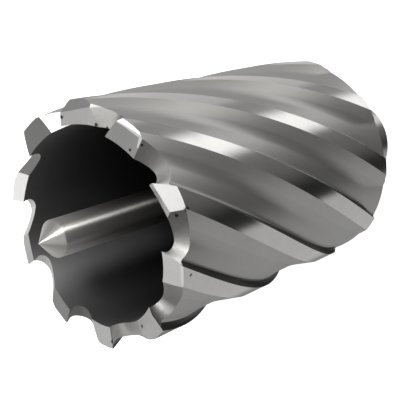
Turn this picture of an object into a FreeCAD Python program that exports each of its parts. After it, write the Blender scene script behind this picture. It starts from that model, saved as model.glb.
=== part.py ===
import FreeCAD, Part
import math
import os

V = FreeCAD.Vector
os.makedirs("parts", exist_ok=True)

# Frame: +Z up, the shank end on z = 0, the toothed mouth up, the axis on x = y = 0, the photographed
# side towards -Y. Lengths in mm, angles in degrees. Tooth angles run clockwise seen from above the mouth.

# Cutter body
cut_dia = 42.9             # over the polished lands
bore_dia = 34.8            # inside of the cup
body_len = 60.6            # from the mouth plane to the shoulder
web_thickness = 6.4        # between the cup floor and the shoulder
cup_corner_r = 1.0
helix_lead = 233.7         # axial length of one full turn of the lands
front_azimuth = 77.2       # turns the photographed side to -Y
back_chamfer = 0.5

# Flute section, angles measured back from each leading edge
land_deg = 9.2             # polished land
relief_deg = 16.2          # end of the sloping band behind the land
relief_drop = 0.95
flute_depth = 1.5
floor_deg = 22.5           # where the floor reaches its full depth
runout_len = 8.0           # the floor rises out of the flute over this length above the shoulder
runout_r = 20.7            # radius of the floor at the shoulder
wall_foot_r = 0.9          # fillet at the foot of the rake wall
wall_lean_deg = 1.3        # how far the foot of the rake wall leads its top

# Shank
shank_dia = 19.05
shank_len = 21.8
shank_end_chamfer = 1.0
shoulder_fillet = 1.2
flat_depth = 1.075         # two driving flats, a quarter turn apart
flat_low = 4.5             # from the shank end
flat_length = 10.0
flat_azimuths = (60.0, 150.0)

# Pilot pin in its running hole
pin_dia = 6.35
pin_clearance = 0.05       # radial
pin_proud = 10.84          # tip above the mouth plane
pin_tip_flat_r = 0.12
pin_tail_chamfer = 0.5
hole_chamfer = 0.6

# Teeth: outer corner angle, inner corner lead, cutting edge as (radius, depth below the mouth plane)
teeth = [
    (52.4, 5.0, [(17.4, -0.75), (21.45, -0.20)]),
    (89.0, 4.5, [(17.4, -0.70), (19.60, -0.75), (21.45, 0.50)]),
    (124.6, 3.3, [(17.4, -0.88), (20.75, -0.35), (21.45, 0.20)]),
    (160.3, 4.0, [(17.4, 0.00), (18.70, -0.55), (21.45, 1.40)]),
    (195.6, 3.6, [(17.4, -0.75), (21.45, -0.25)]),
    (231.6, 3.5, [(17.4, -0.50), (18.80, -0.85), (21.45, 0.35)]),
    (268.9, 1.5, [(17.4, -0.40), (21.45, -0.10)]),
    (302.2, 1.0, [(17.4, -0.70), (20.90, -0.30), (21.45, 0.20)]),
    (338.6, -1.5, [(17.4, -1.00), (21.45, 0.30)]),
    (372.6, -2.5, [(17.4, -0.40), (21.10, -0.10), (21.45, 0.15)]),
]
edge_relief = 10.0         # slope of the facets behind the cutting edge
heel_lead = 17.1           # heel line, ahead of the next inner corner
heel_drop = 0.35           # how much deeper the heel gets per mm of radius
gullet_rows = [(15.9, 1.55, 1.2), (17.4, 2.05, 1.6), (20.3, 3.05, 2.6), (22.6, 3.8, 2.7)]   # radius, depth, root radius
face_step = 0.10           # tooth face ahead of the flute wall

R = cut_dia / 2
Rb = bore_dia / 2
mouth_z = shank_len + body_len
cup_depth = body_len - web_thickness
turn = 360.0 / helix_lead
front_over = 1.8           # height swept above the mouth plane before the teeth are ground


def pt(r, ang, s):
    a = math.radians(front_azimuth - ang)
    return V(r * math.cos(a), r * math.sin(a), mouth_z - s)


def solid_of(faces):
    return Part.Solid(Part.makeShell(faces))


# Section of the fluted wall at the shoulder plane
s_low = body_len
lead_low = [t[0] + turn * s_low for t in teeth]
edges = []
count = len(teeth)
for i, lead in enumerate(lead_low):
    nxt = lead_low[(i + 1) % count] + (360.0 if i == count - 1 else 0.0)
    top = pt(R, lead, s_low)
    heel = pt(R, lead + land_deg, s_low)
    crease = pt(R - relief_drop, lead + relief_deg, s_low)
    floor_in = pt(R - flute_depth, lead + floor_deg, s_low)
    mid = pt(R - 0.5 * (relief_drop + flute_depth) - 0.10, lead + 0.5 * (relief_deg + floor_deg), s_low)
    next_top = pt(R, nxt, s_low)
    # fillet between the floor circle and the leaning wall
    foot = pt(R - flute_depth, nxt - wall_lean_deg, s_low)
    w = (next_top - foot).normalize()
    n = V(w.y, -w.x, 0)
    if n.dot(floor_in - foot) < 0:
        n = n * -1
    rc = R - flute_depth + wall_foot_r
    base = foot + n * wall_foot_r
    o = V(0, 0, foot.z)
    b = base - o
    bw = b.dot(w)
    k = -bw + math.sqrt(bw * bw - b.dot(b) + rc * rc)
    centre = base + w * k
    on_wall = centre - n * wall_foot_r
    on_floor = centre - (centre - o).normalize() * wall_foot_r
    knee = centre + ((on_wall + on_floor) * 0.5 - centre).normalize() * wall_foot_r
    ang_in = lead + floor_deg
    ang_out = front_azimuth - math.degrees(math.atan2(on_floor.y, on_floor.x))
    while ang_out < ang_in:
        ang_out += 360.0
    while ang_out > ang_in + 180.0:
        ang_out -= 360.0
    floor_mid = pt(R - flute_depth, 0.5 * (ang_in + ang_out), s_low)
    edges.append(Part.Arc(top, pt(R, lead + 0.5 * land_deg, s_low), heel).toShape())
    edges.append(Part.makeLine(heel, crease))
    edges.append(Part.Arc(crease, mid, floor_in).toShape())
    edges.append(Part.Arc(floor_in, floor_mid, on_floor).toShape())
    edges.append(Part.Arc(on_floor, knee, on_wall).toShape())
    edges.append(Part.makeLine(on_wall, next_top))
section = Part.Wire(Part.__sortEdges__(edges))

# Sweep the section up along the helix
height = body_len + front_over
spine = Part.Wire([Part.makeLine(V(0, 0, shank_len), V(0, 0, shank_len + height))])
guide = Part.Wire(Part.makeHelix(helix_lead, height, 10.0).Edges)
guide.translate(V(0, 0, shank_len))
pipe = Part.BRepOffsetAPI.MakePipeShell(spine)
pipe.setAuxiliarySpine(guide, True, 0)
pipe.add(section)
pipe.build()
pipe.makeSolid()
body = pipe.shape()
print("fluted wall", body.ShapeType, body.isValid(), round(body.Volume, 1))

# The floor of each flute rises along an arc to the shoulder, as a milling cutter leaves it
floor_r = R - flute_depth - 0.03
rise = [V(floor_r + (runout_r - floor_r) * f * f, 0, shank_len + runout_len * (1 - f)) for f in (0.0, 0.5, 1.0)]
inside = Rb - 4.0
edge_list = [Part.Arc(*rise).toShape(), Part.makeLine(rise[2], V(inside, 0, rise[2].z)),
             Part.makeLine(V(inside, 0, rise[2].z), V(inside, 0, rise[0].z)),
             Part.makeLine(V(inside, 0, rise[0].z), rise[0])]
collar = Part.Face(Part.Wire(edge_list)).revolve(V(0, 0, 0), V(0, 0, 1), 360)
body = body.fuse(collar)
print("run-out", body.ShapeType, body.isValid(), len(body.Solids), round(body.Volume, 1))

# Corner broken at the shoulder
wide = R + 5
ring = Part.makePolygon([V(R - back_chamfer, 0, shank_len - 1), V(wide, 0, shank_len - 1),
                         V(wide, 0, shank_len + back_chamfer), V(R, 0, shank_len + back_chamfer),
                         V(R - back_chamfer, 0, shank_len), V(R - back_chamfer, 0, shank_len - 1)])
body = body.cut(Part.Face(ring).revolve(V(0, 0, 0), V(0, 0, 1), 360))

# Cup
cup = Part.makeCylinder(Rb, cup_depth + 5, V(0, 0, mouth_z - cup_depth))
floor_edges = [e for e in cup.Edges if abs(e.BoundBox.ZMax - (mouth_z - cup_depth)) < 1e-6
               and e.BoundBox.DiagonalLength > Rb]
cup = cup.makeFillet(cup_corner_r, floor_edges)
body = body.cut(cup)
print("cup", body.isValid(), round(body.Volume, 1))

# Facets ground behind each cutting edge, and the gullet in front of the next tooth
facets = []
gullets = []
tan_relief = math.tan(math.radians(edge_relief))
for i, (ang, skew, edge) in enumerate(teeth):
    n_ang, n_skew, n_edge = teeth[(i + 1) % count]
    n_ang += 360.0 if i == count - 1 else 0.0

    def edge_ang(r, a=ang, k=skew):
        return a - k * (R - r) / (R - Rb)

    def next_ang(r, a=n_ang, k=n_skew):
        return a - k * (R - r) / (R - Rb)

    for j in range(len(edge) - 1):
        (r0, s0), (r1, s1) = edge[j], edge[j + 1]
        rm = 0.5 * (r0 + r1)
        p0 = pt(r0, edge_ang(r0), s0)
        p1 = pt(r1, edge_ang(r1), s1)
        back = pt(rm, edge_ang(rm) + 90.0, 0) - V(0, 0, mouth_z)
        back = V(back.x, back.y, 0).normalize() + V(0, 0, -tan_relief)
        normal = (p1 - p0).cross(back)
        corners = []
        for r, a in ((Rb - 2.5, edge_ang(Rb - 2.5) - 3.0), (R + 2.5, edge_ang(R + 2.5) - 3.0),
                     (R + 2.5, next_ang(R + 2.5) - 1.2), (Rb - 2.5, next_ang(Rb - 2.5) - 1.2)):
            q = pt(r, a, 0)
            z = p0.z - (normal.x * (q.x - p0.x) + normal.y * (q.y - p0.y)) / normal.z
            corners.append(V(q.x, q.y, z))
        high = [V(q.x, q.y, mouth_z + 4) for q in corners]
        faces = [Part.Face(Part.makePolygon(corners + corners[:1])), Part.Face(Part.makePolygon(high + high[:1]))]
        for m in range(4):
            a, b = corners[m], corners[(m + 1) % 4]
            c, d = high[(m + 1) % 4], high[m]
            faces.append(Part.Face(Part.makePolygon([a, b, c, d, a])))
        facets.append(solid_of(faces))

    # round-bottomed groove, shallow at the bore and deeper outwards
    mid_ang = next_ang(0.5 * (R + Rb)) - 9.0
    heel_ang = next_ang(Rb) - heel_lead
    rad = pt(1.0, mid_ang, 0) - V(0, 0, mouth_z)
    tan_dir = pt(1.0, mid_ang + 90.0, 0) - V(0, 0, mouth_z)
    wires = []
    for y, depth, root in gullet_rows:
        rr = min(max(y, Rb), R)
        t_edge = y * math.tan(math.radians(next_ang(rr) - mid_ang)) - (face_step if y > Rb + 1 else 0.0)
        t_heel = y * math.tan(math.radians(heel_ang - mid_ang))
        lean = math.atan(2 * math.pi * rr / helix_lead)
        s_edge = n_edge[0][1]
        s_heel = edge[0][1] + tan_relief * math.radians(heel_ang - ang) * rr + heel_drop * (rr - Rb)
        s_touch = depth - root * (1 + math.sin(lean))
        t_touch = t_edge + math.tan(lean) * (s_touch - s_edge)
        t_root = t_touch - root * math.cos(lean)

        def at(t, s):
            return V(rad.x * y + tan_dir.x * t, rad.y * y + tan_dir.y * t, mouth_z - s)

        swing = 0.5 * (math.pi / 2 + lean)
        knee = at(t_root + root * math.sin(swing), depth - root + root * math.cos(swing))
        slope = [at(t_heel + (t_root - t_heel) * f, s_heel + (depth - s_heel) * (1 - (1 - f) ** 1.55))
                 for f in (0.0, 0.2, 0.4, 0.6, 0.8, 1.0)]
        curve = Part.BSplineCurve()
        curve.interpolate(slope)
        start = at(t_heel - 2.2, s_heel - 2.6)
        root_end = at(t_touch, s_touch)
        over = at(t_edge - math.tan(lean) * 2.4, s_edge - 2.4)
        top = at(t_heel - 2.2, s_edge - 3.4)
        wires.append(Part.Wire([Part.makeLine(start, slope[0]), curve.toShape(),
                                Part.Arc(slope[-1], knee, root_end).toShape(),
                                Part.makeLine(root_end, over), Part.makeLine(over, top),
                                Part.makeLine(top, start)]))
    gullets.append(Part.makeLoft(wires, True, True))

body = body.cut(facets)
print("facets", body.isValid(), len(body.Solids), round(body.Volume, 1))
body = body.cut(gullets)
print("gullets", body.isValid(), len(body.Solids), round(body.Volume, 1), [round(g.Volume) for g in gullets])

# Shank with its two flats and the running hole
Rs = shank_dia / 2
shank = Part.makeCylinder(Rs, shank_len + 2.0)
low_edge = [e for e in shank.Edges if e.BoundBox.ZMax < 1e-6]
shank = shank.makeChamfer(shank_end_chamfer, low_edge)
for az in flat_azimuths:
    tool = Part.makeBox(Rs, shank_dia, flat_length, V(Rs - flat_depth, -Rs, flat_low))
    tool.rotate(V(0, 0, 0), V(0, 0, 1), az)
    shank = shank.cut(tool)
fillet_tool = Part.Wire([
    Part.makeLine(V(Rs, 0, shank_len - shoulder_fillet), V(Rs - 1.0, 0, shank_len - shoulder_fillet)),
    Part.makeLine(V(Rs - 1.0, 0, shank_len - shoulder_fillet), V(Rs - 1.0, 0, shank_len + 0.5)),
    Part.makeLine(V(Rs - 1.0, 0, shank_len + 0.5), V(Rs + shoulder_fillet, 0, shank_len + 0.5)),
    Part.makeLine(V(Rs + shoulder_fillet, 0, shank_len + 0.5), V(Rs + shoulder_fillet, 0, shank_len)),
    Part.Arc(V(Rs + shoulder_fillet, 0, shank_len),
             V(Rs + shoulder_fillet * (1 - math.sqrt(0.5)), 0, shank_len - shoulder_fillet * (1 - math.sqrt(0.5))),
             V(Rs, 0, shank_len - shoulder_fillet)).toShape()])
neck = Part.Face(fillet_tool).revolve(V(0, 0, 0), V(0, 0, 1), 360)
body = body.fuse([shank, neck])
hole_r = pin_dia / 2 + pin_clearance
body = body.cut(Part.makeCylinder(hole_r, mouth_z, V(0, 0, -1)))
body = body.cut(Part.makeCone(hole_r + hole_chamfer, hole_r, hole_chamfer))
cup_floor = mouth_z - cup_depth
body = body.cut(Part.makeCone(hole_r, hole_r + hole_chamfer, hole_chamfer, V(0, 0, cup_floor - hole_chamfer)))
body = body.removeSplitter()
if body.ShapeType != "Solid":
    body = max(body.Solids, key=lambda q: q.Volume)
print("cutter_body", body.ShapeType, body.isValid(), round(body.Volume, 1), body.BoundBox)

# Pilot pin, standing on the same level as the shank end
pin_r = pin_dia / 2
pin_len = mouth_z + pin_proud
cone = pin_r - pin_tip_flat_r
outline = Part.makePolygon([V(0, 0, 0), V(pin_r - pin_tail_chamfer, 0, 0), V(pin_r, 0, pin_tail_chamfer),
                            V(pin_r, 0, pin_len - cone), V(pin_tip_flat_r, 0, pin_len), V(0, 0, pin_len), V(0, 0, 0)])
pin = Part.Face(outline).revolve(V(0, 0, 0), V(0, 0, 1), 360)
print("pilot_pin", pin.ShapeType, pin.isValid(), round(pin.Volume, 1), pin.BoundBox)

body.exportStep("parts/cutter_body.step")
pin.exportStep("parts/pilot_pin.step")
print("clash", round(body.common(pin).Volume, 6))
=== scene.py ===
# %% [markdown]
# # An annular cutter
# This tool cuts a ring out of steel plate and leaves a core. It is a hollow cylinder with ten teeth round
# its open mouth, spiral flutes that carry the chips away, a shank at the other end and a loose pilot pin
# along its axis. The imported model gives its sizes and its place, and this file gives it its finish.

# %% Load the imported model
import math
import bmesh
import bpy
import numpy as np
from mathutils import Matrix


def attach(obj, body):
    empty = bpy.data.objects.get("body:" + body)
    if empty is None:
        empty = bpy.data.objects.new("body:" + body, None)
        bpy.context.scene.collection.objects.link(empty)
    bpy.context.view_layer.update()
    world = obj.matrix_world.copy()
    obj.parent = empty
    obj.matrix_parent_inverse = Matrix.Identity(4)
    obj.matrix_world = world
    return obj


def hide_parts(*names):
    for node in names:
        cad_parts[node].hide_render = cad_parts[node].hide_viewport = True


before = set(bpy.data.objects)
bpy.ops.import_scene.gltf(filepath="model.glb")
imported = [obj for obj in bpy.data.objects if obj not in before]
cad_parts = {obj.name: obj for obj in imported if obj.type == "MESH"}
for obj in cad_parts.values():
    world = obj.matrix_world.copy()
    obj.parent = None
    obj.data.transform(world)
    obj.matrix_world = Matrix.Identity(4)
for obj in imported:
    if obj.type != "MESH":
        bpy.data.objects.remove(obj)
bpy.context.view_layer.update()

# %% [markdown]
# ## Sizes of the cutter
# Lengths are in millimetres and angles in degrees. A point of the tool is given by its radius, its tooth
# angle, which runs clockwise seen from above the mouth, and its depth below the mouth plane. A flute
# turns steadily with depth, so a point also has a helical angle: its angle less the turn at its depth.

# %% Sizes
MM = 0.001
DEG = math.pi / 180.0
LAND_R, BORE_R = 21.45, 17.4
BODY_LEN, CUP_DEPTH, CUP_CORNER = 60.6, 54.2, 1.0
SHANK_LEN, SHANK_R = 21.8, 9.525
SHANK_CHAMFER, SHOULDER_FILLET, BACK_CHAMFER = 1.0, 1.2, 0.5
FLAT_FROM_AXIS, FLAT_LOW, FLAT_HIGH = 8.45, 4.5, 14.5
FLAT_AT = (60.0, 150.0)
HOLE_R, HOLE_CHAMFER = 3.225, 0.6
PIN_R, PIN_PROUD, PIN_TAIL = 3.175, 10.84, 0.5
MOUTH_Z = SHANK_LEN + BODY_LEN
CUP_START = CUP_DEPTH - CUP_CORNER

# A flute turns by TURN degrees per millimetre, and tooth angle 0 looks in the direction FRONT.
TURN = 360.0 / 233.7
FRONT = 77.2

# Section of a flute: helical angles at which land, relief and fall to the floor end, what each of the two
# takes off the radius, and the fillet under the next tooth's wall.
LAND_DEG, RELIEF_DEG, FLOOR_DEG = 9.2, 16.2, 22.5
RELIEF_DROP, FLOOR_FALL, FLOOR_CURVE = 0.95, 0.95, 0.40
FLUTE_DEPTH, WALL_FOOT = 1.5, 0.9
FLOOR_R = LAND_R - FLUTE_DEPTH
FOOT_R = FLOOR_R + WALL_FOOT
RUNOUT_LEN, RUNOUT_R, RUNOUT_UNDER = 8.0, 20.7, 0.03
RELIEF_SLOPE = math.tan(math.radians(10.0))

# Each tooth: helical angle of its edge at the land, lead of its inner corner, cutting edge as
# (radius, depth), heel as helical angles behind the edge at the land and at the bore, the depth at the
# bore of the gullet that follows it, and factors of painted highlight and shade on its inner facet, its
# outer facet, the start of that gullet and its end.
TEETH = [
    dict(lead=52.4, skew=5.0, edge=[(17.4, -0.75), (21.45, -0.20)],
         heel=(11.0, 16.0), gullet=2.0, painted_light=(0.42, 0.42, 1.75, 1.75)),
    dict(lead=89.0, skew=4.5, edge=[(17.4, -0.70), (19.60, -0.75), (21.45, 0.50)],
         heel=(12.5, 18.0), gullet=2.1, painted_light=(0.85, 0.65, 0.45, 0.55)),
    dict(lead=124.6, skew=3.3, edge=[(17.4, -0.88), (20.75, -0.35), (21.45, 0.20)],
         heel=(12.0, 15.2), gullet=2.3, painted_light=(0.57, 1.15, 0.30, 2.4)),
    dict(lead=160.3, skew=4.0, edge=[(17.4, 0.00), (18.70, -0.55), (21.45, 1.40)],
         heel=(9.4, 12.5), gullet=2.1, painted_light=(1.95, 0.85, 0.25, 2.5)),
    dict(lead=195.6, skew=3.6, edge=[(17.4, -0.75), (21.45, -0.25)],
         heel=(9.4, 13.5), gullet=1.7, painted_light=(1.0, 1.2, 0.58, 0.22)),
    dict(lead=231.6, skew=3.5, edge=[(17.4, -0.50), (18.80, -0.85), (21.45, 0.35)],
         heel=(12.0, 15.0), gullet=2.0, painted_light=(0.85, 0.85, 0.8, 0.8)),
    dict(lead=268.9, skew=1.5, edge=[(17.4, -0.40), (21.45, -0.10)],
         heel=(11.0, 16.0), gullet=2.1, painted_light=(0.95, 0.95, 0.32, 0.32)),
    dict(lead=302.2, skew=1.0, edge=[(17.4, -0.70), (20.90, -0.30), (21.45, 0.20)],
         heel=(13.0, 17.0), gullet=2.2, painted_light=(0.48, 0.55, 1.0, 1.0)),
    dict(lead=338.6, skew=-1.5, edge=[(17.4, -1.00), (21.45, 0.30)],
         heel=(13.0, 17.0), gullet=2.2, painted_light=(0.8, 0.8, 1.2, 1.2)),
    dict(lead=372.6, skew=-2.5, edge=[(17.4, -0.40), (21.10, -0.10), (21.45, 0.15)],
         heel=(13.0, 18.0), gullet=2.0, painted_light=(1.25, 1.25, 0.48, 0.48)),
]
print(len(TEETH), "teeth, one turn of a flute in", round(360 / TURN, 1), "mm")


# %% [markdown]
# ## From tool angles to places
# One helper turns radius, angle and depth into a place in metres. The cutter stands on its shank with
# the mouth up, so depth runs downwards.

# %% Place of a point
def place(r, theta, s):
    """x = r cos(front - theta), y = r sin(front - theta), z = mouth height - s, all in metres."""
    r, theta, s = np.broadcast_arrays(r, theta, s)
    a = (FRONT - theta) * DEG
    return np.stack([r * np.cos(a), r * np.sin(a), MOUTH_Z - s], axis=-1) * MM


print("mouth at", round(MOUTH_Z * MM, 4), "m")


# %% [markdown]
# ## The section of a flute
# All the way along, the wall has one section, turned a little more at each depth: a narrow polished
# land at the full radius, a sloping relief behind it, a round floor, and a fillet that runs up into
# the steep wall under the next cutting edge.

# %% Section of a flute
def edge_tau(tooth, r):
    """Helical angle of a cutting edge at radius r, less its tooth's lead: -skew * (R - r) / (R - Rb)."""
    return -tooth["skew"] * (LAND_R - r) / (LAND_R - BORE_R)


def section_radius(tooth, nxt, tau, r_near):
    """Radius of the wall at a helical angle: constant on the land, falling in a line over the relief,
    a quadratic into the floor, and at a distance x from the next tooth's wall, under the width f of the
    fillet, floor + f - sqrt(f^2 - (f - x)^2)."""
    u = np.clip((tau - LAND_DEG) / (RELIEF_DEG - LAND_DEG), 0, 1)
    v = np.clip((tau - RELIEF_DEG) / (FLOOR_DEG - RELIEF_DEG), 0, 1)
    r = LAND_R - RELIEF_DROP * u - FLOOR_FALL * v + FLOOR_CURVE * v * v
    wall = nxt["lead_on"] - tooth["lead"] + edge_tau(nxt, r_near)
    x = np.clip((wall - tau) * DEG * r_near, 0, WALL_FOOT)
    foot = FLOOR_R + WALL_FOOT - np.sqrt(WALL_FOOT ** 2 - (WALL_FOOT - x) ** 2)
    return np.where(x < WALL_FOOT, np.maximum(foot, FLOOR_R), r)


def run_out(s):
    """Radius to which the floor rises near the shoulder: floor + rise * q^2, with q from 0 to 1 over the
    last stretch. It starts a hair under the floor, so that it shows only where it has risen."""
    q = np.clip((s - (BODY_LEN - RUNOUT_LEN)) / RUNOUT_LEN, 0, 1)
    return FLOOR_R - RUNOUT_UNDER + (RUNOUT_R - FLOOR_R + RUNOUT_UNDER) * q * q


print("land to floor", FLUTE_DEPTH, "mm deep")


# %% [markdown]
# ## The ground facets
# Behind its cutting edge each tooth is ground to one or two flat facets that fall away by ten degrees.
# Two facets meet in a ridge. Each facet is a plane in depth, worked out for whole arrays of points at
# once.

# %% Facets
def edge_depth(tooth, r):
    """Depth of the cutting edge at radius r, in straight lines between its corners."""
    pts = np.array(tooth["edge"])
    return np.interp(r, pts[:, 0], pts[:, 1])


def facet_planes(tooth):
    """Each facet as depth = s0 + g . (p - p0), with g from its edge and from the relief slope behind it."""
    planes = []
    for (r0, s0), (r1, s1) in zip(tooth["edge"], tooth["edge"][1:]):
        a0, a1 = [(tooth["lead"] + edge_tau(tooth, r) + TURN * s) * DEG for r, s in ((r0, s0), (r1, s1))]
        p0 = np.array([r0 * math.cos(a0), r0 * math.sin(a0)])
        p1 = np.array([r1 * math.cos(a1), r1 * math.sin(a1)])
        mid = 0.5 * (a0 + a1)
        back = np.array([-math.sin(mid), math.cos(mid)])
        g = np.linalg.solve(np.array([p1 - p0, back]), np.array([s1 - s0, RELIEF_SLOPE]))
        planes.append((p0, s0, g))
    return planes


def plane_depth(plane, tooth, r, tau):
    """Depth of a plane at a helical angle, in four passes because the turn depends on the depth."""
    p0, s0, g = plane
    s = np.full(np.broadcast(r, tau).shape, s0)
    for _ in range(4):
        a = (tooth["lead"] + tau + TURN * s) * DEG
        s = s0 + g[0] * (r * np.cos(a) - p0[0]) + g[1] * (r * np.sin(a) - p0[1])
    return s


def facet_depth(tooth, r, tau):
    """The deepest of the tooth's planes."""
    return np.max([plane_depth(p, tooth, r, tau) for p in tooth["planes"]], axis=0)


def heel_tau(tooth, r):
    """Helical angle of the heel, straight from its value at the bore to its value at the land."""
    u = (r - BORE_R) / (LAND_R - BORE_R)
    return tooth["heel"][1] * (1 - u) + tooth["heel"][0] * u


for tooth in TEETH:
    tooth["planes"] = facet_planes(tooth)
print("facets", [len(tooth["planes"]) for tooth in TEETH])

# %% [markdown]
# ## The gullets
# Behind its heel a tooth drops to a round bottom, shallow at the bore and deep at the flute, and the
# wall rises again under the next edge. A gullet has three stretches: a slope, the root, which is part of
# a circle, and the face, which leans with the flute.

# %% Gullets
GULLET_R = np.array([15.9, 17.4, 20.3, 22.6])
GULLET_DEPTH = np.array([1.55, 2.05, 3.05, 3.8])
GULLET_ROOT = np.array([1.2, 1.6, 2.6, 2.7])
ROOT_STOP, SLOPE_POWER = 0.15, 1.55


def gullet_shape(tooth, nxt, r):
    """Bottom depth, root radius, lean of the face, depth of the edge, depth and swing at the end of the
    root, and distance of the bottom from the face. The root circle touches the face, which leans by
    atan(2 pi r / lead), or ends where 15 percent of the way up to the edge are left."""
    depth = np.interp(r, GULLET_R, GULLET_DEPTH) + (tooth["gullet"] - GULLET_DEPTH[1])
    root = np.interp(r, GULLET_R, GULLET_ROOT)
    lean = np.arctan(TURN * DEG * r)
    s_edge = edge_depth(nxt, r)
    x_root = root * np.cos(lean) - np.tan(lean) * (depth - root * (1 + np.sin(lean)) - s_edge)
    stop = s_edge + ROOT_STOP * (depth - s_edge)
    swing = np.minimum(math.pi / 2 + lean, np.arccos(np.clip((stop - depth + root) / root, -1, 1)))
    s_touch = depth - root + root * np.cos(swing)
    return depth, root, lean, s_edge, s_touch, swing, x_root


def gullet_point(tooth, nxt, r, part, f):
    """Helical angle and depth in the gullet. In the slope the depth follows 1 - (1 - f)^1.55 from heel
    to bottom; in the root it follows the circle; on the face it goes straight up to the next edge."""
    depth, root, lean, s_edge, s_touch, swing, x_root = gullet_shape(tooth, nxt, r)
    face = nxt["lead_on"] + edge_tau(nxt, r) + TURN * s_edge
    if part == "slope":
        s_heel = facet_depth(tooth, r, heel_tau(tooth, r))
        heel = tooth["lead"] + heel_tau(tooth, r) + TURN * s_heel
        x = (face - heel) * DEG * r * (1 - f) + x_root * f
        s = s_heel + (depth - s_heel) * (1 - (1 - f) ** SLOPE_POWER)
    elif part == "root":
        miss = x_root - root * np.sin(swing) + np.tan(lean) * (s_touch - s_edge)
        x = x_root - root * np.sin(swing * f) - miss * f
        s = depth - root + root * np.cos(swing * f)
    else:
        s = s_touch + (s_edge - s_touch) * f
        x = -np.tan(lean) * (s - s_edge)
    theta = face - x / (DEG * r)
    return theta - TURN * s - tooth["lead"], s


print("gullets at the bore", [tooth["gullet"] for tooth in TEETH], "mm deep")

# %% [markdown]
# ## One tooth as grids
# The front of a tooth is a grid: columns run from its edge over the facets, down the gullet and up to
# the next edge, and rows run from the bore to the flute. The wall outside and the bore inside hang
# from its two long sides, column by column, so the skin closes without gaps.

# %% Columns and rows
N_LAND, N_BAND, N_SLOPE, N_ROOT, N_FACE = 7, 5, 12, 12, 4
N_IN, N_OUT, N_DOWN, N_BORE = 10, 4, 110, 36
RIDGE_ROW_IN, RIDGE_ROW_OUT = 5, 2
SPREAD_FROM = 0.8
LAND_PASSES, FLUTE_PASSES, RIDGE_STEPS = 12, 30, 120


def facet_ridge(tooth, tau_of, lo, hi):
    """Radius at which the two planes are equally deep, found on a fine line of radii per column."""
    r = lo[:, None] + (hi - lo)[:, None] * np.linspace(0, 1, RIDGE_STEPS)
    tau = tau_of(r)
    inner, outer = [plane_depth(plane, tooth, r, tau) for plane in tooth["planes"]]
    flip = np.argmax(inner - outer < 0, axis=1)
    return np.where(flip > 0, np.take_along_axis(r, flip[:, None], 1)[:, 0], 0.5 * (lo + hi))


def rows_with_ridge(n, row, at):
    """Rows from 0 to 1 in every column, even on both sides of one row that lies at the given fraction."""
    return np.stack([np.interp(np.arange(n + 1), [0, row, n], [0, q, 1]) for q in at])


def tooth_front(tooth, nxt):
    """Grids of radius, helical angle and depth for the facets. Rows up to N_IN end at the foot of the
    wall under the edge, and the others spread over the wall's height there and close up on the land."""
    w_land = LAND_DEG / tooth["heel"][0]
    w = np.concatenate([np.linspace(0, w_land, N_LAND), np.linspace(w_land, 1, N_BAND)[1:]])

    def tau_of(r):
        ww = w.reshape((-1,) + (1,) * (np.ndim(r) - 1))
        return edge_tau(tooth, r) * (1 - ww) + heel_tau(tooth, r) * ww

    r_out = np.full(w.shape, LAND_R)
    for _ in range(LAND_PASSES):
        r_out = section_radius(tooth, nxt, tau_of(r_out), r_out)
    w0 = SPREAD_FROM * w_land
    r_split = FOOT_R + (r_out - FOOT_R) * np.clip((w - w0) / (1 - w0), 0, 1) ** 2
    r_split = np.minimum(r_split, r_out)
    lo = np.full(w.shape, BORE_R)
    inner = np.linspace(0, 1, N_IN + 1)[None, :] * np.ones((len(w), 1))
    outer = np.linspace(0, 1, N_OUT + 1)[None, :] * np.ones((len(w), 1))
    if len(tooth["planes"]) == 2:
        ridge = facet_ridge(tooth, tau_of, lo, r_out)
        if tooth["edge"][1][0] < FOOT_R:
            inner = rows_with_ridge(N_IN, RIDGE_ROW_IN, np.clip((ridge - lo) / (r_split - lo), 0.08, 0.92))
        else:
            at = (ridge - r_split) / np.maximum(r_out - r_split, 1e-6)
            outer = rows_with_ridge(N_OUT, RIDGE_ROW_OUT, np.clip(at, 0.1, 0.9))
    r_in = lo[:, None] + (r_split - lo)[:, None] * inner
    r_far = r_split[:, None] + (r_out - r_split)[:, None] * outer
    r = np.concatenate([r_in, r_far[:, 1:]], axis=1)
    tau = tau_of(r)
    return r, tau, facet_depth(tooth, r, tau)


def gullet_front(tooth, nxt, first_rows, last_rows):
    """Grid of the slope, root and face, with rows that change evenly from the heel's to the next edge's."""
    parts = ([("slope", f) for f in np.linspace(0, 1, N_SLOPE + 1)] +
             [("root", f) for f in np.linspace(0, 1, N_ROOT + 1)[1:]] +
             [("face", f) for f in np.linspace(0, 1, N_FACE + 1)[1:]])
    cols = []
    for k, (part, f) in enumerate(parts):
        r_end = np.array([FOOT_R])
        if part != "face":
            r_end = np.array([FLOOR_R])
            for _ in range(FLUTE_PASSES):
                tau, _s = gullet_point(tooth, nxt, r_end, part, f)
                r_end = 0.5 * r_end + 0.5 * section_radius(tooth, nxt, tau, r_end)
        mix = k / (len(parts) - 1)
        rows = first_rows * (1 - mix) + last_rows * mix
        r = BORE_R + (r_end - BORE_R) * rows
        tau, s = gullet_point(tooth, nxt, r, part, f)
        cols.append((r, tau, s))
    return [np.stack([c[q] for c in cols]) for q in range(3)]


def shares(r):
    """Rows inside the foot as shares of the way from the bore: (r - Rb) / (r_last - Rb)."""
    return (r[:N_IN + 1] - BORE_R) / (r[N_IN] - BORE_R)


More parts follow.
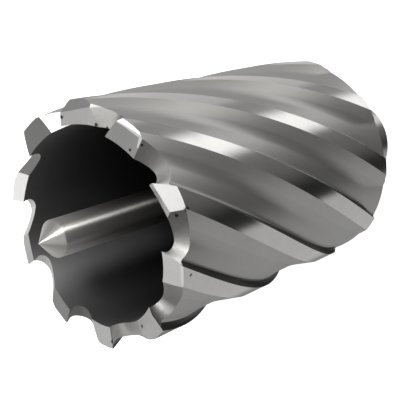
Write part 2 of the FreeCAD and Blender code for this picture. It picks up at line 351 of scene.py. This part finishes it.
for tooth, after in zip(TEETH, TEETH[1:] + TEETH[:1]):
    tooth["next"] = dict(after, lead_on=after["lead"] + (360.0 if after is TEETH[0] else 0.0))
    tooth["front"] = tooth_front(tooth, tooth["next"])
for tooth, after in zip(TEETH, TEETH[1:] + TEETH[:1]):
    nxt = tooth["next"]
    edge_r, edge_t, edge_s = [q[0] for q in after["front"]]
    grid = gullet_front(tooth, nxt, shares(tooth["front"][0][-1]), shares(edge_r))
    # the last columns blend into the next tooth's first one, so that both share their border points
    f = np.linspace(0, 1, N_FACE + 1)[1:, None]
    for q, edge_end in zip(grid, (edge_r, edge_t + nxt["lead_on"] - tooth["lead"], edge_s)):
        q[-N_FACE:] = q[-N_FACE - 1] * (1 - f) + edge_end[:N_IN + 1] * f
    tooth["gullet_grid"] = grid
print("columns per tooth", TEETH[0]["front"][0].shape, TEETH[0]["gullet_grid"][0].shape)


# %% [markdown]
# ## Patches of the body
# Patches are gathered with a finish number for every face and a flat map that unrolls the flutes, so
# that grinding lines can follow them. Neighbours share their border points.

# %% Patches
# the rake finish is near black: painted shade on the rake walls and in the fillets under them
LAND, RELIEF, FLUTE, RAKE_SHADE, FACET, GULLET, BORE, SHANK = range(8)
LAND_MARGIN, RELIEF_MARGIN, RAKE_SHADE_SHARE, RISEN_BY, GULLET_POWER = 0.05, 0.3, 0.75, 0.01, 3
TOUCH = N_SLOPE + N_ROOT
patches = []


def add_patch(points, finish, flat, painted_light=1.0):
    """Keep one grid: places, finish numbers and painted highlight and shade factors for its faces, and its
    unrolled coordinates.
    """
    faces = (points.shape[0] - 1, points.shape[1] - 1)
    patches.append((points, np.broadcast_to(finish, faces), flat, np.broadcast_to(painted_light, faces)))


def add_polar(r, theta, s, finish, helical=None, painted_light=1.0):
    """A grid in radius, angle and depth, unrolled to (angle * R, depth) by its own or its helical angle."""
    flat = np.stack([(theta if helical is None else helical) * DEG * LAND_R, s + 0 * theta], axis=-1)
    add_patch(place(r, theta, s), finish, flat, painted_light)


def hang(tops, h, s_end, steps):
    """Depths below a border: N_FACE even steps over h, then even steps to the end."""
    k = np.linspace(0, 1, N_FACE + 1)
    g = np.linspace(0, 1, steps + 1)[1:]
    first = tops[:, None] + h[:, None] * k
    return np.concatenate([first, first[:, -1:] + (s_end - first[:, -1:]) * g], axis=1)


def inner_rows(tooth):
    """How many rows of faces belong to the inner facet: up to the ridge, or up to the foot without one."""
    if tooth["edge"][1][0] < FOOT_R:
        return RIDGE_ROW_IN
    return N_IN + (RIDGE_ROW_OUT if len(tooth["planes"]) == 2 else 0)


outer_ring, bore_ring = [], []
for tooth, before in zip(TEETH, TEETH[-1:] + TEETH[:-1]):
    lead = tooth["lead"]
    r, tau, s = tooth["front"]
    # painted highlight and shade of this tooth: factors for its inner and outer facet and for its gullet
    inside, outside, start, end = tooth["painted_light"]
    painted_light = np.where(np.arange(r.shape[1] - 1) < inner_rows(tooth), inside, outside)
    add_polar(r, lead + tau + TURN * s, s, FACET, painted_light=painted_light[None, :])
    gr, gt, gs = tooth["gullet_grid"]
    # the gullet's painted reflection changes from its start factor to its end factor
    along = np.linspace(0, 1, gr.shape[0] - 1)[:, None] ** GULLET_POWER
    add_polar(gr, lead + gt + TURN * gs, gs, GULLET, painted_light=start * (1 - along) + end * along)

    # outside: up the rake wall, over the land, down the relief and along the floor to the next wall
    col_r, col_t, col_s = [np.concatenate([a[0, N_IN:], a[1:, -1], b[1:TOUCH + 1, -1]])
                           for a, b in zip((r, tau, s), (gr, gt, gs))]
    h_wall = before["gullet_grid"][2][TOUCH, -1] - s[0, N_IN]
    n_wall = N_OUT + 1
    fade = np.concatenate([np.ones(n_wall), np.linspace(1, 0, len(col_r) - n_wall + 1)[1:]])
    depth = hang(col_s, h_wall * fade, BODY_LEN, N_DOWN)
    radius = np.maximum(col_r[:, None], run_out(depth))
    radius = np.minimum(radius, LAND_R - np.maximum(0, depth - (BODY_LEN - BACK_CHAMFER)))
    finish = np.where(col_t[:-1] < LAND_DEG - LAND_MARGIN, LAND,
                      np.where(col_t[:-1] < RELIEF_DEG - RELIEF_MARGIN, RELIEF, FLUTE))
    # the rake wall and the fillet nearest the next wall take the near-black rake finish, painted shade in that
    # crease
    finish[:N_OUT] = RAKE_SHADE
    finish[(col_t[-1] - col_t[:-1]) * DEG * FOOT_R < RAKE_SHADE_SHARE * WALL_FOOT] = RAKE_SHADE
    risen = (run_out(depth) > col_r[:, None] + RISEN_BY)[:-1, :-1]
    add_polar(radius, lead + col_t[:, None] + TURN * depth, depth, np.where(risen, FLUTE, finish[:, None]),
              np.broadcast_to(lead + col_t[:, None], depth.shape))
    outer_ring.append((radius[:, -1], lead + col_t + TURN * BODY_LEN))

    # inside: the bore
    in_t = np.concatenate([tau[:, 0], gt[1:TOUCH + 1, 0]])
    in_s = np.concatenate([s[:, 0], gs[1:TOUCH + 1, 0]])
    h_in = (before["gullet_grid"][2][TOUCH, 0] - s[0, 0]) * np.linspace(1, 0, len(in_t))
    depth = hang(in_s, h_in, CUP_START, N_BORE)
    add_polar(np.full(depth.shape, BORE_R), lead + in_t[:, None] + TURN * depth, depth, BORE)
    bore_t = lead + in_t + TURN * CUP_START
    bore_ring.append(np.concatenate([np.full(N_OUT, bore_t[0]), bore_t]))
print("patches of the fluted body", len(patches))

# %% [markdown]
# ## Shoulder, shank and the inside of the cup
# These are turned surfaces: a profile of radius and depth carried once round. The flats of the shank
# are pressed in by holding each point behind a plane.

# %% Turned surfaces
SHOULDER_STEPS, WEB_MIDDLE_R = 8, 10.0
arc = np.linspace(0, math.pi / 2, 7)
# radius and depth, and a 1 for rings that the flats press in
rings = [(SHANK_R + SHOULDER_FILLET * (1 - math.sin(a)), BODY_LEN + SHOULDER_FILLET * (1 - math.cos(a)))
         for a in arc]
rings += [(SHANK_R, MOUTH_Z - FLAT_HIGH), (SHANK_R, MOUTH_Z - FLAT_HIGH, 1),
          (SHANK_R, MOUTH_Z - FLAT_LOW, 1), (SHANK_R, MOUTH_Z - FLAT_LOW),
          (SHANK_R, MOUTH_Z - SHANK_CHAMFER), (SHANK_R - SHANK_CHAMFER, MOUTH_Z)]
n_shank = len(rings)
rings += [(HOLE_R + HOLE_CHAMFER, MOUTH_Z), (HOLE_R, MOUTH_Z - HOLE_CHAMFER),
          (HOLE_R, CUP_DEPTH + HOLE_CHAMFER), (HOLE_R + HOLE_CHAMFER, CUP_DEPTH), (WEB_MIDDLE_R, CUP_DEPTH)]
rings += [(BORE_R - CUP_CORNER * (1 - math.sin(a)), CUP_DEPTH - CUP_CORNER * (1 - math.cos(a)))
          for a in arc]
kinds = np.array([SHANK] * n_shank + [BORE] * (len(rings) - 1 - n_shank))[None, :]
pressed = np.array([len(q) == 3 for q in rings])[None, :]
for (out_r, out_t), theta in zip(outer_ring, bore_ring):
    f = np.linspace(0, 1, SHOULDER_STEPS + 1)[None, :]
    radius = out_r[:, None] * (1 - f) + rings[0][0] * f
    angle = out_t[:, None] * (1 - f) + theta[:, None] * f
    add_polar(radius, angle, np.full(radius.shape, BODY_LEN), SHANK)
    radius = np.array([q[0] for q in rings])[None, :] + 0 * theta[:, None]
    depth = np.array([q[1] for q in rings])[None, :] + 0 * theta[:, None]
    pts = place(radius, theta[:, None], depth)
    for at in FLAT_AT:
        normal = np.array([math.cos(at * DEG), math.sin(at * DEG), 0.0])
        over = np.maximum(pts @ normal - FLAT_FROM_AXIS * MM, 0)
        pts = pts - np.where(pressed, over, 0)[..., None] * normal
    add_patch(pts, kinds, np.stack([theta[:, None] * DEG * SHANK_R + 0 * radius, depth], axis=-1))
print("patches with the shank", len(patches))


# %% [markdown]
# ## Closed skin
# Merging the points that patches share leaves one closed skin. Each face keeps its finish and its factor
# of painted highlight and shade, and the count of open edges shows whether the skin is closed.

# %% Skin
def skin(name, patches, sharp_deg):
    """One mesh from all grids: quads by index, borders merged, faces turned outwards, and edges
    sharper than sharp_deg kept crisp."""
    verts, quads, kinds, flats, painted_lights, start = [], [], [], [], [], 0
    for points, finish, flat, painted_light in patches:
        n, m = points.shape[:2]
        k = start + np.arange(n * m).reshape(n, m)
        quads.append(np.stack([k[:-1, :-1], k[1:, :-1], k[1:, 1:], k[:-1, 1:]], axis=-1).reshape(-1, 4))
        verts.append(points.reshape(-1, 3))
        flats.append(np.broadcast_to(flat, (n, m, 2)).reshape(-1, 2))
        kinds.append(finish.reshape(-1))
        painted_lights.append(painted_light.reshape(-1))
        start += n * m
    verts, quads, kinds, flats, painted_lights = map(np.concatenate, (verts, quads, kinds, flats, painted_lights))
    mesh = bpy.data.meshes.new(name)
    mesh.from_pydata(verts, [], quads)
    mesh.polygons.foreach_set("material_index", kinds.astype(np.int32))
    layer = mesh.uv_layers.new(name="unrolled")
    layer.uv.foreach_set("vector", flats[quads.reshape(-1)].astype(np.float32).reshape(-1))
    # each face's factor of painted highlight and shade is kept as an attribute
    mesh.attributes.new("painted_light", "FLOAT", "FACE").data.foreach_set("value", painted_lights.astype(np.float32))
    bm = bmesh.new()
    bm.from_mesh(mesh)
    bmesh.ops.remove_doubles(bm, verts=bm.verts, dist=2e-6)
    bmesh.ops.dissolve_degenerate(bm, edges=bm.edges, dist=1e-6)
    bmesh.ops.recalc_face_normals(bm, faces=bm.faces)
    volume = bm.calc_volume(signed=True)
    bm.to_mesh(mesh)
    bm.free()
    used = np.zeros(len(mesh.loops), dtype=np.int32)
    mesh.loops.foreach_get("edge_index", used)
    open_edges = int((np.bincount(used, minlength=len(mesh.edges)) != 2).sum())
    mesh.polygons.foreach_set("use_smooth", np.ones(len(mesh.polygons), dtype=bool))
    mesh.set_sharp_from_angle(angle=math.radians(sharp_deg))
    print(name, len(mesh.polygons), "faces,", open_edges, "open edges,", round(volume * 1e9, 1), "mm3")
    piece = bpy.data.objects.new(name, mesh)
    bpy.context.scene.collection.objects.link(piece)
    return piece


cutter = skin("fluted_body", patches, 17)
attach(cutter, "cutter")
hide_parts("cutter_body")

# %% [markdown]
# ## The pilot pin
# A ground round pin whose point has a right angle. It is a turned profile; its corners are a little
# rounded, because a real ground edge always catches a thin line of light.

# %% Pilot pin
BLUNT, SOFT = 0.12, 0.10
PIN_RINGS, PIN_TURNS = 40, 145
tip_z = MOUTH_Z + PIN_PROUD
shoulder = tip_z - PIN_R
prof = [(0.0, 0.0), (PIN_R - PIN_TAIL, 0.0), (PIN_R, PIN_TAIL), (PIN_R, PIN_TAIL + 0.2)]
prof += [(PIN_R, z) for z in np.linspace(2.0, shoulder - 1.0, PIN_RINGS)]
prof += [(PIN_R, shoulder - 0.3), (PIN_R, shoulder - SOFT), (PIN_R - 0.03, shoulder + 0.02),
         (PIN_R - SOFT, shoulder + SOFT), (PIN_R - 0.3, shoulder + 0.3), (1.6, tip_z - 1.6),
         (BLUNT, tip_z - BLUNT), (0.5 * BLUNT, tip_z - 0.3 * BLUNT), (0.0, tip_z - 0.25 * BLUNT)]
turn = np.linspace(0, 360, PIN_TURNS)[None, :]
pin_r, pin_z = [np.array(q)[:, None] + 0 * turn for q in zip(*prof)]
pin_flat = np.stack([turn * DEG * PIN_R + 0 * pin_r, MOUTH_Z - pin_z], axis=-1)
one = np.ones((len(prof) - 1, PIN_TURNS - 1))
pin = skin("pin", [(place(pin_r, turn, MOUTH_Z - pin_z), 0 * one, pin_flat, one)], 22)
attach(pin, "pin")
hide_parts("pilot_pin")


# %% [markdown]
# ## Grain of worked steel
# A grinding wheel, a milling cutter and a lathe all leave fine lines and cloudy patches, only at
# different scales. They could be photographs of steel, but a procedural pattern has no seams and no
# fixed size. So one node group makes it from two noises on the unrolled map, whose unit is a
# millimetre, and each finish places the group with its own values. In a deep bore less light comes
# back, so the group can also darken the colour by exp(-k * depth).

# %% A group for the grain
def add_node(tree, kind, sockets=None, **settings):
    """A node with its settings and with constants for the sockets that are named or numbered."""
    n = tree.nodes.new(kind)
    for key, value in settings.items():
        setattr(n, key, value)
    for key, value in (sockets or {}).items():
        n.inputs[key].default_value = value
    return n


def open_group(name, inputs, outputs):
    """An empty shader group with its named sockets; returns the tree and its two end nodes."""
    tree = bpy.data.node_groups.new(name, "ShaderNodeTree")
    for in_out, sockets in (("INPUT", inputs), ("OUTPUT", outputs)):
        for label, kind in sockets:
            tree.interface.new_socket(label, in_out=in_out, socket_type=kind)
    return tree, tree.nodes.new("NodeGroupInput"), tree.nodes.new("NodeGroupOutput")


def noise_on(tree, vector, scale, detail):
    """The value of a noise texture, 0 to 1 round 0.5, on a linked vector."""
    n = add_node(tree, "ShaderNodeTexNoise", {"Scale": scale, "Detail": detail, "Roughness": 0.6})
    tree.links.new(vector, n.inputs["Vector"])
    return n.outputs["Fac"]


def math_on(tree, operation, *values):
    """A math node whose inputs are links or plain numbers."""
    n = add_node(tree, "ShaderNodeMath", operation=operation)
    for k, v in enumerate(values):
        if isinstance(v, (int, float)):
            n.inputs[k].default_value = v
        else:
            tree.links.new(v, n.inputs[k])
    return n.outputs[0]


NUMBER, VECTOR, COLOR = "NodeSocketFloat", "NodeSocketVector", "NodeSocketColor"
LINE_DETAIL, CLOUD_SCALE, CLOUD_DETAIL, DENT_M = 5.0, 0.22, 3.0, 0.00003

grain, g_in, g_out = open_group(
    "worked_grain",
    [("Color", COLOR), ("Lines", VECTOR), ("Tint", NUMBER), ("Cloud", NUMBER), ("Roughness", NUMBER),
     ("Spread", NUMBER), ("Relief", NUMBER), ("Depth_shade", NUMBER)],
    [("Color", COLOR), ("Roughness", NUMBER), ("Normal", VECTOR)])
unrolled = add_node(grain, "ShaderNodeUVMap", uv_map="unrolled")
stretched = add_node(grain, "ShaderNodeVectorMath", operation="MULTIPLY")
grain.links.new(unrolled.outputs["UV"], stretched.inputs[0])
grain.links.new(g_in.outputs["Lines"], stretched.inputs[1])
lines = noise_on(grain, stretched.outputs[0], 1.0, LINE_DETAIL)
cloud = noise_on(grain, unrolled.outputs["UV"], CLOUD_SCALE, CLOUD_DETAIL)
fine, broad = [math_on(grain, "MULTIPLY", math_on(grain, "SUBTRACT", noise, 0.5), 2.0)
               for noise in (lines, cloud)]
light = math_on(grain, "MULTIPLY_ADD", fine, g_in.outputs["Tint"],
                math_on(grain, "MULTIPLY_ADD", broad, g_in.outputs["Cloud"], 1.0))
parted = add_node(grain, "ShaderNodeSeparateXYZ")
grain.links.new(unrolled.outputs["UV"], parted.inputs[0])
# painted shade with depth: the colour is scaled by exp(-k * depth)
fall = math_on(grain, "MULTIPLY", math_on(grain, "MULTIPLY", parted.outputs["Y"], g_in.outputs["Depth_shade"]), -1.0)
light = math_on(grain, "MULTIPLY", light, math_on(grain, "EXPONENT", fall))
# the colour is scaled by each face's factor of painted highlight and shade
painted_light_node = add_node(grain, "ShaderNodeAttribute", attribute_name="painted_light")
shade = add_node(grain, "ShaderNodeVectorMath", operation="SCALE")
grain.links.new(g_in.outputs["Color"], shade.inputs[0])
grain.links.new(math_on(grain, "MULTIPLY", light, painted_light_node.outputs["Fac"]), shade.inputs["Scale"])
grain.links.new(shade.outputs[0], g_out.inputs["Color"])
grain.links.new(math_on(grain, "MULTIPLY_ADD", fine, g_in.outputs["Spread"], g_in.outputs["Roughness"]),
                g_out.inputs["Roughness"])
dent = add_node(grain, "ShaderNodeBump", {"Distance": DENT_M})
grain.links.new(g_in.outputs["Relief"], dent.inputs["Strength"])
grain.links.new(lines, dent.inputs["Height"])
grain.links.new(dent.outputs["Normal"], g_out.inputs["Normal"])
print("grain group with", len(grain.nodes), "nodes")

# %% [markdown]
# ## Nicks
# The real cutter has a few small chips where it struck something. Each is drawn as a near-black spot a
# third to half a millimetre wide at a known place: the chip is real, its darkness is painted shade in its
# hollow. A second group turns a place and a size into a mask, which falls as 1.6 - 1.4 * distance / reach,
# where a noise makes the reach ragged.

# %% A group for the nicks
MASK_TOP, MASK_FALL, RAGGED_SCALE = 1.6, 1.4, 4000.0
# near black: the painted shade in each chip's hollow
NICK_SHADE_COLOR = (0.02, 0.02, 0.02, 1.0)
NICKS = [((-0.00196, -0.02136, 0.08046), 0.0005), ((-0.00241, -0.01955, 0.08124), 0.0004),
         ((0.01528, -0.00885, 0.08174), 0.0004), ((0.01865, -0.00280, 0.08309), 0.0004),
         ((0.01426, -0.01002, 0.08075), 0.0003), ((0.00948, -0.01769, 0.08177), 0.0003),
         ((0.00941, -0.01543, 0.08240), 0.0003), ((-0.01804, -0.00463, 0.08218), 0.0004),
         ((-0.01976, 0.00382, 0.08260), 0.0004), ((-0.01186, -0.01787, 0.08064), 0.0003)]

nick, k_in, k_out = open_group("nick", [("Place", VECTOR), ("Size", NUMBER), ("Before", NUMBER)],
                               [("Mask", NUMBER)])
here = add_node(nick, "ShaderNodeTexCoord")
ragged = add_node(nick, "ShaderNodeTexNoise", {"Scale": RAGGED_SCALE, "Detail": 2.0})
nick.links.new(here.outputs["Object"], ragged.inputs["Vector"])
apart = add_node(nick, "ShaderNodeVectorMath", operation="DISTANCE")
nick.links.new(here.outputs["Object"], apart.inputs[0])
nick.links.new(k_in.outputs["Place"], apart.inputs[1])
reach = math_on(nick, "MULTIPLY", k_in.outputs["Size"], math_on(nick, "ADD", ragged.outputs["Fac"], 0.5))
ratio = math_on(nick, "DIVIDE", apart.outputs["Value"], reach)
clamped = add_node(nick, "ShaderNodeClamp")
nick.links.new(math_on(nick, "SUBTRACT", MASK_TOP, math_on(nick, "MULTIPLY", ratio, MASK_FALL)),
               clamped.inputs["Value"])
nick.links.new(math_on(nick, "MAXIMUM", clamped.outputs[0], k_in.outputs["Before"]), k_out.inputs["Mask"])
print("nicks", len(NICKS))


# %% [markdown]
# ## Steel finishes
# Steel is one colour; what differs is how it was finished, and where shade is painted. A lapped land
# mirrors the studio, a milled flute blurs it, and a ground facet shows fine grain. The pin and the bore were
# turned, so their lines run round the axis and stretch every reflection along it, which the shader's
# anisotropy gives. The rake walls are painted near black as shade, and the bore and the pin get darker
# colours that fall further with depth, also painted shade.

# %% Finishes
def with_nicks(nt, color_out):
    """The colour, turned near black as painted shade where any nick's mask is 1. Each mask takes the largest
    one before it.
    """
    mask = None
    for at, size in NICKS:
        spot = add_node(nt, "ShaderNodeGroup", node_tree=nick)
        spot.inputs["Place"].default_value = at
        spot.inputs["Size"].default_value = size
        if mask:
            nt.links.new(mask, spot.inputs["Before"])
        mask = spot.outputs["Mask"]
    dark = add_node(nt, "ShaderNodeMix", {"B": NICK_SHADE_COLOR}, data_type="RGBA")
    nt.links.new(mask, dark.inputs["Factor"])
    nt.links.new(color_out, dark.inputs["A"])
    return dark.outputs["Result"]


def steel(name, color, rough, spread, lines, tint, cloud=0.05, relief=0.0, turned=0.0, nicks=False, depth_shade=0.0):
    """Metal whose colour, roughness and relief come from the grain group."""
    mat = bpy.data.materials.new(name)
    mat.use_nodes = True
    nt = mat.node_tree
    bsdf = nt.nodes["Principled BSDF"]
    bsdf.inputs["Metallic"].default_value = 1.0
    worked = add_node(nt, "ShaderNodeGroup", node_tree=grain)
    for label, value in (("Color", (*color, 1.0)), ("Lines", (*lines, 1.0)), ("Tint", tint), ("Cloud", cloud),
                         ("Roughness", rough), ("Spread", spread), ("Relief", relief), ("Depth_shade", depth_shade)):
        worked.inputs[label].default_value = value
    color_out = worked.outputs["Color"]
    nt.links.new(with_nicks(nt, color_out) if nicks else color_out, bsdf.inputs["Base Color"])
    nt.links.new(worked.outputs["Roughness"], bsdf.inputs["Roughness"])
    if relief:
        nt.links.new(worked.outputs["Normal"], bsdf.inputs["Normal"])
    if turned:
        bsdf.inputs["Anisotropic"].default_value = turned
        bsdf.inputs["Anisotropic Rotation"].default_value = 0.25
        round_axis = add_node(nt, "ShaderNodeTangent", direction_type="RADIAL", axis="Z")
        nt.links.new(round_axis.outputs[0], bsdf.inputs["Tangent"])
    return mat


finishes = {
    LAND: steel("lapped_land", (0.60, 0.59, 0.575), 0.16, 0.04, (5.0, 0.15), 0.05, 0.10, nicks=True),
    RELIEF: steel("satin_relief", (0.42, 0.415, 0.40), 0.46, 0.06, (4.0, 0.15), 0.06, 0.06, 0.2),
    FLUTE: steel("satin_flute", (0.39, 0.385, 0.375), 0.44, 0.06, (4.0, 0.15), 0.06, 0.06, 0.2),
    # near-black colour: painted shade on the rake walls and in the fillets under them
    RAKE_SHADE: steel("satin_rake_painted_shade", (0.085, 0.083, 0.08), 0.38, 0.05, (4.0, 0.15), 0.05),
    # facet and gullet colours are also scaled by each face's painted highlight and shade
    FACET: steel("ground_facet", (0.66, 0.655, 0.645), 0.34, 0.08, (5.0, 2.0), 0.12, 0.12, 0.5, nicks=True),
    GULLET: steel("rough_gullet", (0.64, 0.63, 0.61), 0.5, 0.1, (4.0, 4.0), 0.2, 0.12, 1.0, nicks=True),
    # the bore's dark colour and its fall with depth are painted shade inside the cup
    BORE: steel("turned_bore_painted_shade", (0.19, 0.19, 0.19), 0.60, 0.05, (0.3, 3.0), 0.15, 0.1, turned=0.8, depth_shade=0.07),
    SHANK: steel("ground_shank", (0.50, 0.49, 0.48), 0.28, 0.05, (0.2, 5.0), 0.05),
}
for kind in sorted(finishes):
    cutter.data.materials.append(finishes[kind])
# the pin's dark colour and its fall with depth are painted shade from the bore round it
pin.data.materials.append(
    steel("turned_pin_painted_shade", (0.30, 0.291, 0.277), 0.42, 0.03, (0.3, 6.0), 0.10, turned=1.0, depth_shade=0.08))
print("finishes", [m.name for m in cutter.data.materials])

# %% [markdown]
# ## Floor
# The cutter stands on a plain white floor, which takes its shadow. The floor glows a little, so that it is
# as white as the backdrop of the photo. Rays that leave the metal pass through it to the studio.

# %% Floor
FLOOR_HALF = 2.0
floor_mesh = bpy.data.meshes.new("floor")
floor_mesh.from_pydata([(x * FLOOR_HALF, y * FLOOR_HALF, 0) for x, y in ((-1, -1), (1, -1), (1, 1), (-1, 1))],
                       [], [(0, 1, 2, 3)])
floor = bpy.data.objects.new("floor", floor_mesh)
bpy.context.scene.collection.objects.link(floor)
floor.visible_glossy = False
floor.visible_diffuse = False
floor.visible_shadow = False
white = bpy.data.materials.new("white_floor")
white.use_nodes = True
for label, value in (("Base Color", (0.8, 0.8, 0.8, 1)), ("Roughness", 1.0), ("Specular IOR Level", 0.0),
                     ("Emission Color", (1, 1, 1, 1)), ("Emission Strength", 0.62)):
    white.node_tree.nodes["Principled BSDF"].inputs[label].default_value = value
floor_mesh.materials.append(white)
print("floor of", 2 * FLOOR_HALF, "m")

# %% [markdown]
# ## Studio
# Round the cutter is a wide soft studio, drawn into the world by direction alone. It has a dark bottom and
# three rings of brighter and darker walls, one above the other, that polished steel mirrors as bands.
# Each ring takes over from the one below between two heights of the direction. Four round soft lights
# are added: a wide one above, two at the sides, and a small strong one that draws the line on the pin.
#
# The camera sees plain white. Mirrored and transmitted rays see that white too where it lies behind the
# cutter, which a round mask in the camera's direction tells.

# %% Studio
STUDIO_STRENGTH, BACKDROP_STRENGTH, BOTTOM_GREY = 1.75, 1.0, 0.03
# each ring: heights at which it starts and is full, and its walls as (tool angle, grey)
RINGS = [
    (-0.96, -0.84, [(0, 0.08), (13, 0.10), (24, 0.40), (81, 0.38), (88, 0.20), (106, 0.20), (117, 0.90),
                    (136, 0.90), (147, 0.13), (175, 0.09), (186, 0.05), (196, 0.015), (214, 0.012),
                    (220, 0.35), (300, 0.33), (318, 0.09), (360, 0.08)]),
    (-0.62, -0.45, [(0, 0.48), (20, 0.40), (81, 0.40), (90, 0.34), (106, 0.34), (117, 0.85), (136, 0.85),
                    (147, 0.14), (206, 0.10), (212, 0.36), (300, 0.36), (325, 0.25), (341, 0.24),
                    (348, 0.32), (355, 0.55), (360, 0.48)]),
    (-0.1, 0.22, [(0, 0.42), (12, 0.25), (45, 0.25), (70, 0.28), (92, 0.45), (112, 0.35), (122, 1.0),
                  (138, 1.0), (150, 0.10), (210, 0.10), (260, 0.22), (310, 0.38), (328, 0.46),
                  (345, 0.30), (360, 0.42)]),
]
# each soft light: tool angle, height, angular radius that is full and at which it is gone, strength
SOFT_LIGHTS = [(198, 72, 14, 30, 0.75), (4, 26, 8, 18, 0.35), (92, 54, 10, 20, 0.2), (130, 44, 2.5, 8, 38.0)]
BACKDROP = (346.5, -45.5, 8, 18)

world = bpy.data.worlds.new("studio")
bpy.context.scene.world = world
world.use_nodes = True
wt = world.node_tree
wt.nodes.clear()


def node(kind, sockets=None, **settings):
    """A node of the world."""
    return add_node(wt, kind, sockets, **settings)


coord = node("ShaderNodeTexCoord")
xyz = node("ShaderNodeSeparateXYZ")
wt.links.new(coord.outputs["Generated"], xyz.inputs[0])
azimuth = math_on(wt, "ARCTAN2", xyz.outputs["Y"], xyz.outputs["X"])
turned_to = math_on(wt, "FRACT", math_on(wt, "MULTIPLY_ADD", azimuth, -0.5 / math.pi, FRONT / 360.0))


def band_ramp(stops):
    """Grey of the studio against tool angle, linear between the stops (angle, grey)."""
    ramp = node("ShaderNodeValToRGB")
    e = ramp.color_ramp.elements
    while len(e) > 1:
        e.remove(e[-1])
    for k, (angle, grey) in enumerate(stops):
        q = e[0] if k == 0 else e.new(angle / 360.0)
        q.position = angle / 360.0
        q.color = (grey, grey, grey, 1.0)
    wt.links.new(turned_to, ramp.inputs["Fac"])
    return ramp.outputs["Color"]


def cone(angle, height, inner, outer, strength=1.0):
    """Round mask about the direction of a tool angle and height: full inside one angular radius and
    gone at another, a smooth step of the cosine between them."""
    a, h = (FRONT - angle) * DEG, height * DEG
    axis = (math.cos(h) * math.cos(a), math.cos(h) * math.sin(a), math.sin(h))
    toward = node("ShaderNodeVectorMath", {1: axis}, operation="DOT_PRODUCT")
    wt.links.new(coord.outputs["Generated"], toward.inputs[0])
    edge = node("ShaderNodeMapRange", {1: math.cos(outer * DEG), 2: math.cos(inner * DEG), 4: strength},
                interpolation_type="SMOOTHSTEP")
    wt.links.new(toward.outputs["Value"], edge.inputs[0])
    return edge.outputs[0]


lit = band_ramp([(0, BOTTOM_GREY)])
for z_start, z_full, stops in RINGS:
    level = node("ShaderNodeMapRange", {1: z_start, 2: z_full}, interpolation_type="SMOOTHSTEP")
    wt.links.new(xyz.outputs["Z"], level.inputs[0])
    walls = node("ShaderNodeMix", data_type="RGBA")
    wt.links.new(level.outputs[0], walls.inputs["Factor"])
    wt.links.new(lit, walls.inputs["A"])
    wt.links.new(band_ramp(stops), walls.inputs["B"])
    lit = walls.outputs["Result"]
for soft_light in SOFT_LIGHTS:
    both = node("ShaderNodeVectorMath", operation="ADD")
    wt.links.new(lit, both.inputs[0])
    wt.links.new(cone(*soft_light), both.inputs[1])
    lit = both.outputs[0]
path = node("ShaderNodeLightPath")
mirrored = math_on(wt, "ADD", path.outputs["Is Glossy Ray"], path.outputs["Is Transmission Ray"])
behind = math_on(wt, "MULTIPLY", mirrored, cone(*BACKDROP))
shown = math_on(wt, "MINIMUM", math_on(wt, "ADD", path.outputs["Is Camera Ray"], behind), 1.0)
studio = node("ShaderNodeBackground", {"Strength": STUDIO_STRENGTH})
wt.links.new(lit, studio.inputs["Color"])
backdrop = node("ShaderNodeBackground", {"Color": (1, 1, 1, 1), "Strength": BACKDROP_STRENGTH})
pick = node("ShaderNodeMixShader")
out = node("ShaderNodeOutputWorld")
wt.links.new(shown, pick.inputs[0])
wt.links.new(studio.outputs[0], pick.inputs[1])
wt.links.new(backdrop.outputs[0], pick.inputs[2])
wt.links.new(pick.outputs[0], out.inputs["Surface"])
print("studio of", len(RINGS), "rings with", [len(stops) for _, _, stops in RINGS], "stops")

# %% [markdown]
# ## Camera
# The camera looks down into the mouth at forty-five degrees and is rolled, so that the upright cutter
# lies across the picture. Its place and its axes are given in the tool's own frame, whose x axis points to
# tooth angle 0, and then turned with the tool.

# %% Camera
SENSOR_MM, LENS_MM, CLIP_START = 36.0, 77.2, 0.01
CAM_RIGHT, CAM_UP = (-0.73218, 0.15202, -0.66393), (0.0, -0.97478, -0.22319)
CAM_BACK = (-0.68111, -0.16342, 0.71371)
CAM_AT = (-0.11119, -0.02508, MOUTH_Z * MM + 0.08917)
cam_data = bpy.data.cameras.new("camera")
cam_data.sensor_width = SENSOR_MM
cam_data.lens = LENS_MM
cam_data.clip_start = CLIP_START
camera = bpy.data.objects.new("camera", cam_data)
bpy.context.scene.collection.objects.link(camera)
pose = Matrix([*zip(CAM_RIGHT, CAM_UP, CAM_BACK, CAM_AT), (0, 0, 0, 1)])
camera.matrix_world = Matrix.Rotation(math.radians(FRONT), 4, "Z") @ pose
bpy.context.scene.camera = camera
bpy.context.scene.view_settings.view_transform = "Standard"
print("camera at", [round(v, 4) for v in camera.matrix_world.translation])
